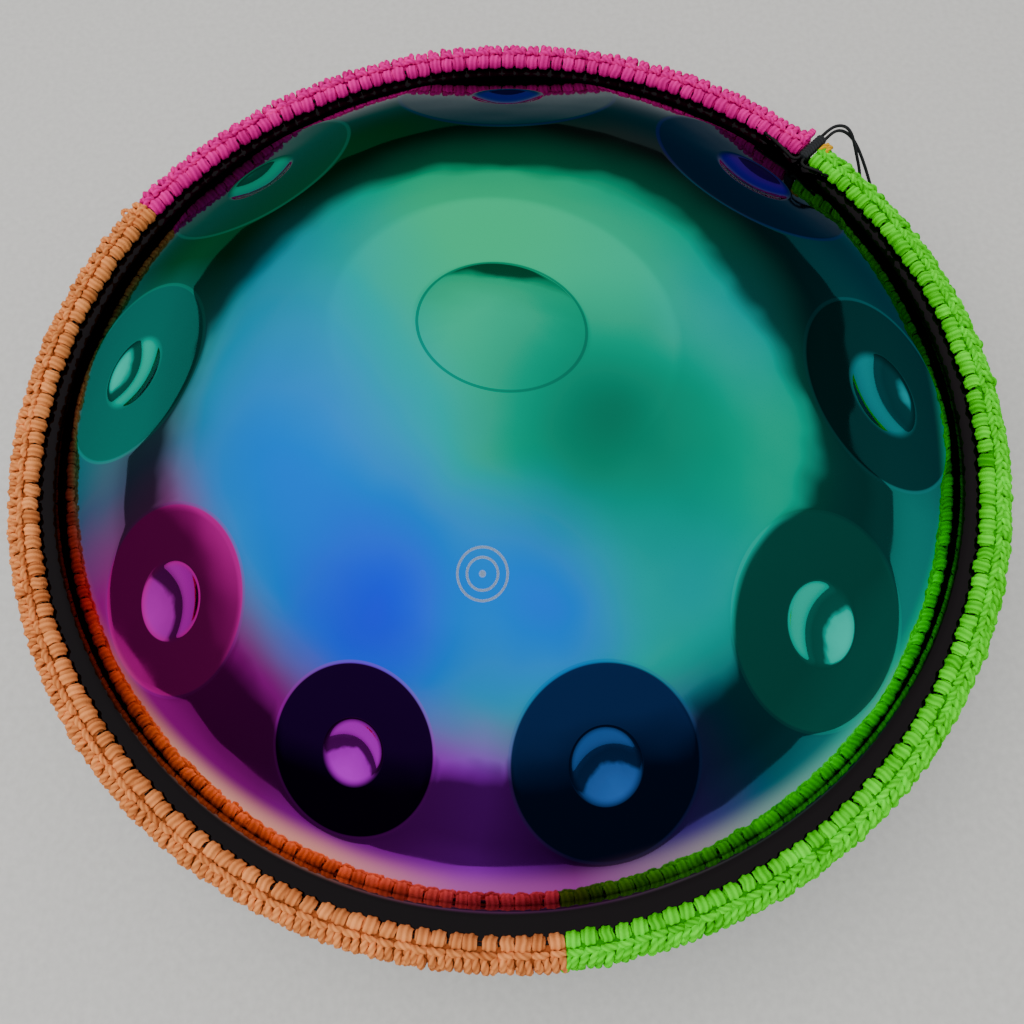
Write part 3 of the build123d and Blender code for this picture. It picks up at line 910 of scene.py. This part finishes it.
# Where a tone field's and a dimple's colour set in, as shares of their half widths.
FIELD_EDGE = (1.0, 0.975)
DIMPLE_EDGE = (1.08, 0.82)
# Each tone field, in FIELDS order: the field's colour and its dimple's. They are the coating's hues, with a
# painted dark reflection of the surroundings in the darker fields.
FIELD_TINTS_AND_REFLECTION = [
    ((0.04, 0.070, 0.058), (0.06, 0.05, 0.26)),
    ((0.055, 0.055, 0.070), (0.07, 0.03, 0.28)),
    ((0.002, 0.080, 0.080), (0.01, 0.36, 0.40)),
    ((0.000, 0.460, 0.340), (0.00, 0.62, 0.46)),
    ((0.006, 0.022, 0.085), (0.02, 0.10, 0.36)),
    ((0.010, 0.000, 0.028), (0.46, 0.00, 0.60)),
    ((0.560, 0.008, 0.300), (0.42, 0.01, 0.40)),
    ((0.012, 0.260, 0.210), (0.00, 0.70, 0.50)),
    ((0.017, 0.140, 0.065), (0.00, 0.45, 0.28)),
]
# The etched mark: direction in degrees and distance from the axis, its rings, dot and line width.
MARK_AT = (263.3, 0.113)
MARK_RINGS = (0.0107, 0.0066)
MARK_DOT = 0.0016
MARK_LINE = 0.0006


def near(tree, value, target, width):
    """1 where a value is close to a target, falling to 0 at `width` from it."""
    away = scalar(tree, "ABSOLUTE", scalar(tree, "SUBTRACT", value, target))
    return remapped(tree, away, width * LINE_CORE, width, 1.0, 0.0)


def etched_mark(tree, place):
    """Two thin rings and a dot, as a mask."""
    turn = math.radians(MARK_AT[0])
    centre = (MARK_AT[1] * math.cos(turn), MARK_AT[1] * math.sin(turn), 0.0)
    away = measure(tree, "DISTANCE", vector(tree, "MULTIPLY", place, (1, 1, 0)), centre)
    mask = near(tree, away, 0.0, MARK_DOT)
    for ring in MARK_RINGS:
        mask = scalar(tree, "MAXIMUM", mask, near(tree, away, ring, MARK_LINE))
    return mask


def share_between(tree, value, start, end):
    """0 before `start`, 1 after `end`, smooth between."""
    return add(tree, "ShaderNodeMapRange", {"Value": value, "From Min": start, "From Max": end},
               interpolation_type="SMOOTHSTEP").outputs["Result"]


def tinted_round(tree, sweep, tints):
    """Colours round the axis, from `sweep`, which runs from 0 to 1 starting at 180 degrees."""
    ramp = add(tree, "ShaderNodeValToRGB", {0: sweep})
    stops = sorted((((direction + 180) % 360) / 360, colour) for direction, colour in tints)
    (first, first_colour), (last, last_colour) = stops[0], stops[-1]
    share = (1 - last) / (1 - last + first)
    seam = tuple(a + (b - a) * share for a, b in zip(last_colour, first_colour))
    fill_ramp(ramp, [(0.0, seam), *stops, (1.0, seam)])
    return ramp.outputs["Color"]


def field_distance(tree, from_centre, direction, half):
    """How far out in an oval at a tone field, with those half widths down and across: 1 on its edge."""
    down, sideways, _ = field_axes(direction)
    parts = [measure(tree, "DOT_PRODUCT", from_centre, tuple(axis / size))
             for axis, size in ((down, half[0]), (sideways, half[1]))]
    return measure(tree, "LENGTH", add(tree, "ShaderNodeCombineXYZ", dict(enumerate(parts))).outputs[0])


def middle_colour(tree, drifted):
    """Soft spots of colour over the middle of the dome."""
    colour = COATING_MIDDLE
    for x, y, reach, tint in COATING_SPOTS:
        away = measure(tree, "DISTANCE", drifted, (x, y, 0.0))
        colour = mixed(tree, share_between(tree, away, reach, 0.0), colour, tint)
    return colour


def with_centre_crease_reflection(tree, flat, colour):
    """The thin dark ring round the centre note's dome, a painted reflection in its crease."""
    turned_place = add(tree, "ShaderNodeVectorRotate", {"Vector": flat, "Angle": -math.radians(CENTRE_TURN)})
    size = (1 / LOW_DOME[0], 1 / LOW_DOME[1], 0.0)
    away = measure(tree, "LENGTH", vector(tree, "MULTIPLY", turned_place.outputs[0], size))
    crease_reflection = scalar(tree, "MULTIPLY", near(tree, away, 1.0, PAINTED_CREASE_WIDTH), CENTRE_CREASE_REFLECTION_SHARE)
    return mixed(tree, crease_reflection, colour, CENTRE_CREASE_REFLECTION_TINT)


def with_fields(tree, place, colour):
    """Every tone field's colour, the thin ring round it in its dimple's colour as a painted reflection in
    its crease, and the dimple.
    """
    from_centre = vector(tree, "SUBTRACT", place, (0, 0, RIM_Z + DOME_CENTRE))
    for (direction, half, dimple), (field_tint_and_reflection, dimple_tint) in zip(FIELDS, FIELD_TINTS_AND_REFLECTION):
        away = field_distance(tree, from_centre, direction, (half * FIELD_STRETCH, half))
        colour = mixed(tree, share_between(tree, away, *FIELD_EDGE), colour, field_tint_and_reflection)
        crease_reflection = scalar(tree, "MULTIPLY", near(tree, away, 1.0, PAINTED_CREASE_WIDTH), FIELD_CREASE_REFLECTION_SHARE)
        colour = mixed(tree, crease_reflection, colour, dimple_tint)
        away = field_distance(tree, from_centre, direction, (dimple * DIMPLE_STRETCH, dimple))
        colour = mixed(tree, share_between(tree, away, *DIMPLE_EDGE), colour, dimple_tint)
    return colour


def coating_colour(tree, place):
    """The heat-tinted coating's colour over the top shell, with painted reflections in its darker tints, its
    crease rings and its flange.
    """
    drift = vector(tree, "SUBTRACT", noise(tree, place, 14.0, 2.5).outputs["Color"], (0.5, 0.5, 0.5))
    flat = vector(tree, "MULTIPLY", place, (1, 1, 0))
    drifted = vector(tree, "ADD", flat, vector(tree, "MULTIPLY", drift, COATING_DRIFT))
    sweep = add(tree, "ShaderNodeTexGradient", {"Vector": drifted}, gradient_type="RADIAL").outputs["Fac"]
    radius = measure(tree, "LENGTH", flat)
    wavy_radius = measure(tree, "LENGTH", vector(tree, "ADD", drifted, WALL_SHIFT))
    colour = with_centre_crease_reflection(tree, flat, middle_colour(tree, drifted))
    # Coating hues round the outside of the dome, dimmed on the far side as a painted dark reflection.
    outside_tint_and_reflection = tinted_round(tree, sweep, WALL_TINTS_AND_REFLECTION)
    colour = mixed(tree, share_between(tree, wavy_radius, *WALL_REACH), colour, outside_tint_and_reflection)
    colour = with_fields(tree, place, colour)
    # Root tints, with a painted reflection of the cover in the root fillet.
    root = tinted_round(tree, sweep, ROOT_TINTS_AND_COVER_REFLECTION)
    colour = mixed(tree, share_between(tree, radius, *ROOT_REACH), colour, root)
    # The flange turns near black: painted shadow and dark reflection under the cover.
    return mixed(tree, share_between(tree, radius, *FLANGE_SHADE_REACH), colour, FLANGE_PAINTED_SHADE)


def underside_colour(tree, place):
    """The bottom shell: one teal that drifts towards blue and violet."""
    patches = noise(tree, place, 7.0, 2.0).outputs["Fac"]
    colour = mixed(tree, share_between(tree, patches, 0.35, 0.6), (0.0, 0.30, 0.24), (0.0, 0.16, 0.42))
    return mixed(tree, share_between(tree, patches, 0.55, 0.75), colour, (0.16, 0.03, 0.36))


def coated_steel(name, marked):
    """Mirror-bright steel with a heat-tinted coating, smudged by hands."""
    material, tree, shader = new_material(name)
    place = object_place(tree)
    colour = coating_colour(tree, place) if marked else underside_colour(tree, place)
    smudges = noise(tree, place, 40.0, 5.0).outputs["Fac"]
    rough = remapped(tree, smudges, 0.35, 0.75, 0.03, 0.075)
    if marked:
        mask = etched_mark(tree, place)
        colour = mixed(tree, mask, colour, (0.55, 0.68, 0.85))
        rough = scalar(tree, "MAXIMUM", rough, mask)
    tree.links.new(colour, shader.inputs["Base Color"])
    tree.links.new(rough, shader.inputs["Roughness"])
    hammering = noise(tree, place, 26.0, 1.0).outputs["Fac"]
    bump = add(tree, "ShaderNodeBump", {"Height": hammering, "Strength": 0.35, "Distance": 0.0008})
    tree.links.new(bump.outputs[0], shader.inputs["Normal"])
    shader.inputs["Metallic"].default_value = 1.0
    shader.inputs["Specular Tint"].default_value = (0.30, 0.34, 0.38, 1.0)
    return material


def floor_material():
    """Pale matt floor with a fine grain."""
    material, tree, shader = new_material("pale_floor")
    grain = noise(tree, object_place(tree), 220.0, 6.0).outputs["Fac"]
    colour = mixed(tree, grain, (0.50, 0.49, 0.47), (0.66, 0.65, 0.62))
    tree.links.new(colour, shader.inputs["Base Color"])
    shader.inputs["Roughness"].default_value = 0.9
    return material


# ---------------------------------------------------------------- assembly

ROOT, SLIDER = "instrument", "sliding_knot"
# Radius at which the gaps between the cover's stretches are measured.
GAP_R = 0.2605
FLOOR_HALF = 6.0
# The sky's brightness by height: a dark uneven horizon under a pale ceiling.
SKY_STOPS = [(0.10, 0.14), (0.20, 0.11), (0.42, 0.12), (0.52, 0.80), (1.0, 1.10)]
SKY_LEAN = (-0.10, 0.05, 0.0)
CLOUD_SHARE = 0.30
LAMP_AT = (-0.6, -0.3, 2.0)
LAMP_SIZE = 2.0
LAMP_WATTS = 30.0


def build_shells():
    steel = coated_steel("coated_steel_top", marked=True)
    plain_steel = coated_steel("coated_steel_bottom", marked=False)
    finish_piece(top_shell(), steel, "coated_steel", ROOT, "top_shell")
    finish_piece(bottom_shell(), plain_steel, "coated_steel", ROOT, "bottom_shell")


def build_cover():
    """The three stretches of the cover, each with its loose end, and the golden cord's end."""
    gap = math.degrees(CLOSURE_GAP / 2 / GAP_R)
    seam = math.degrees(SEAM_GAP / 2 / GAP_R)
    cottons = {
        "pink": (cotton("pink_cotton", (0.42, 0.0, 0.13), (0.98, 0.0, 0.36)),
                 CLOSURE_AT + gap, PINK_END - seam, 0.0, pink_cord_end),
        "terracotta": (cotton("terracotta_cotton", (0.36, 0.09, 0.02), (0.95, 0.34, 0.10)),
                       PINK_END + seam, TERRACOTTA_END - seam, 0.8, terracotta_cord_end),
        "lime": (cotton("lime_cotton", (0.015, 0.30, 0.0), (0.10, 0.95, 0.0)),
                 TERRACOTTA_END + seam, CLOSURE_AT + 360 - gap, -3.4, lime_cord_end),
    }
    for colour, (material, start, end, slant, cord_end) in cottons.items():
        slot = f"{colour}_cord"
        for piece in knotted_cover(colour, start, end, slant):
            finish_piece(piece, material, slot, ROOT, f"{colour}_rim_cover")
        finish_piece(cord_end(), material, slot, ROOT, f"{colour}_cord_end")
    golden = cotton("golden_cotton", (0.40, 0.16, 0.0), (0.95, 0.52, 0.02))
    finish_piece(golden_cord_end(), golden, "golden_cord", ROOT, "golden_cord_end")


def build_black_cords():
    """Sliding knot and tails; the two tension cords and the adhesive keep their CAD shapes."""
    black = black_cord()
    finish_piece(closure_knot(), black, "black_cord", SLIDER, "closure_knot")
    tail_nodes = ("left_tail_cord", "right_tail_cord")
    for tail, node, path, length in zip(tails, tail_nodes, tail_paths, TAIL_LENGTHS):
        finish_piece(tail, black, "black_cord", ROOT, node)
    for node, material in (("upper_tension_cord", black), ("lower_tension_cord", black),
                           ("rim_adhesive", adhesive())):
        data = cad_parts[node].data
        data.materials.clear()
        data.materials.append(material)


def build_floor():
    signs = ((-1, -1), (1, -1), (1, 1), (-1, 1))
    corners = np.array([(x * FLOOR_HALF, y * FLOOR_HALF, FLOOR_Z) for x, y in signs])
    floor = new_mesh("floor", corners, [np.array([[0, 1, 2, 3]])])
    floor.data.materials.append(floor_material())


def build_sky():
    """A broad pale ceiling over a darker horizon."""
    world = bpy.data.worlds.new("studio")
    bpy.context.scene.world = world
    world.use_nodes = True
    tree = world.node_tree
    up = tree.nodes.new("ShaderNodeTexCoord").outputs["Generated"]
    height = add(tree, "ShaderNodeSeparateXYZ", {0: up}).outputs["Z"]
    clouds = noise(tree, up, 2.2, 3.0).outputs["Fac"]
    height = scalar(tree, "MULTIPLY_ADD", clouds, CLOUD_SHARE, height)
    height = scalar(tree, "ADD", height, measure(tree, "DOT_PRODUCT", up, SKY_LEAN))
    ramp = add(tree, "ShaderNodeValToRGB", {0: height})
    fill_ramp(ramp, [(place, (level, level, level)) for place, level in SKY_STOPS])
    background = tree.nodes["Background"]
    tree.links.new(ramp.outputs["Color"], background.inputs["Color"])
    background.inputs["Strength"].default_value = 1.0


def build_lamp():
    """One large soft lamp, left out of reflections."""
    lamp = bpy.data.lights.new("softbox", "AREA")
    lamp.shape = "SQUARE"
    lamp.size = LAMP_SIZE
    lamp.energy = LAMP_WATTS
    box = bpy.data.objects.new("softbox", lamp)
    box.location = LAMP_AT
    box.rotation_euler = (Vector((0, 0, RIM_Z)) - box.location).to_track_quat("-Z", "Y").to_euler()
    box.visible_glossy = False
    bpy.context.scene.collection.objects.link(box)


build_shells()
build_cover()
build_black_cords()
build_floor()
build_sky()
build_lamp()
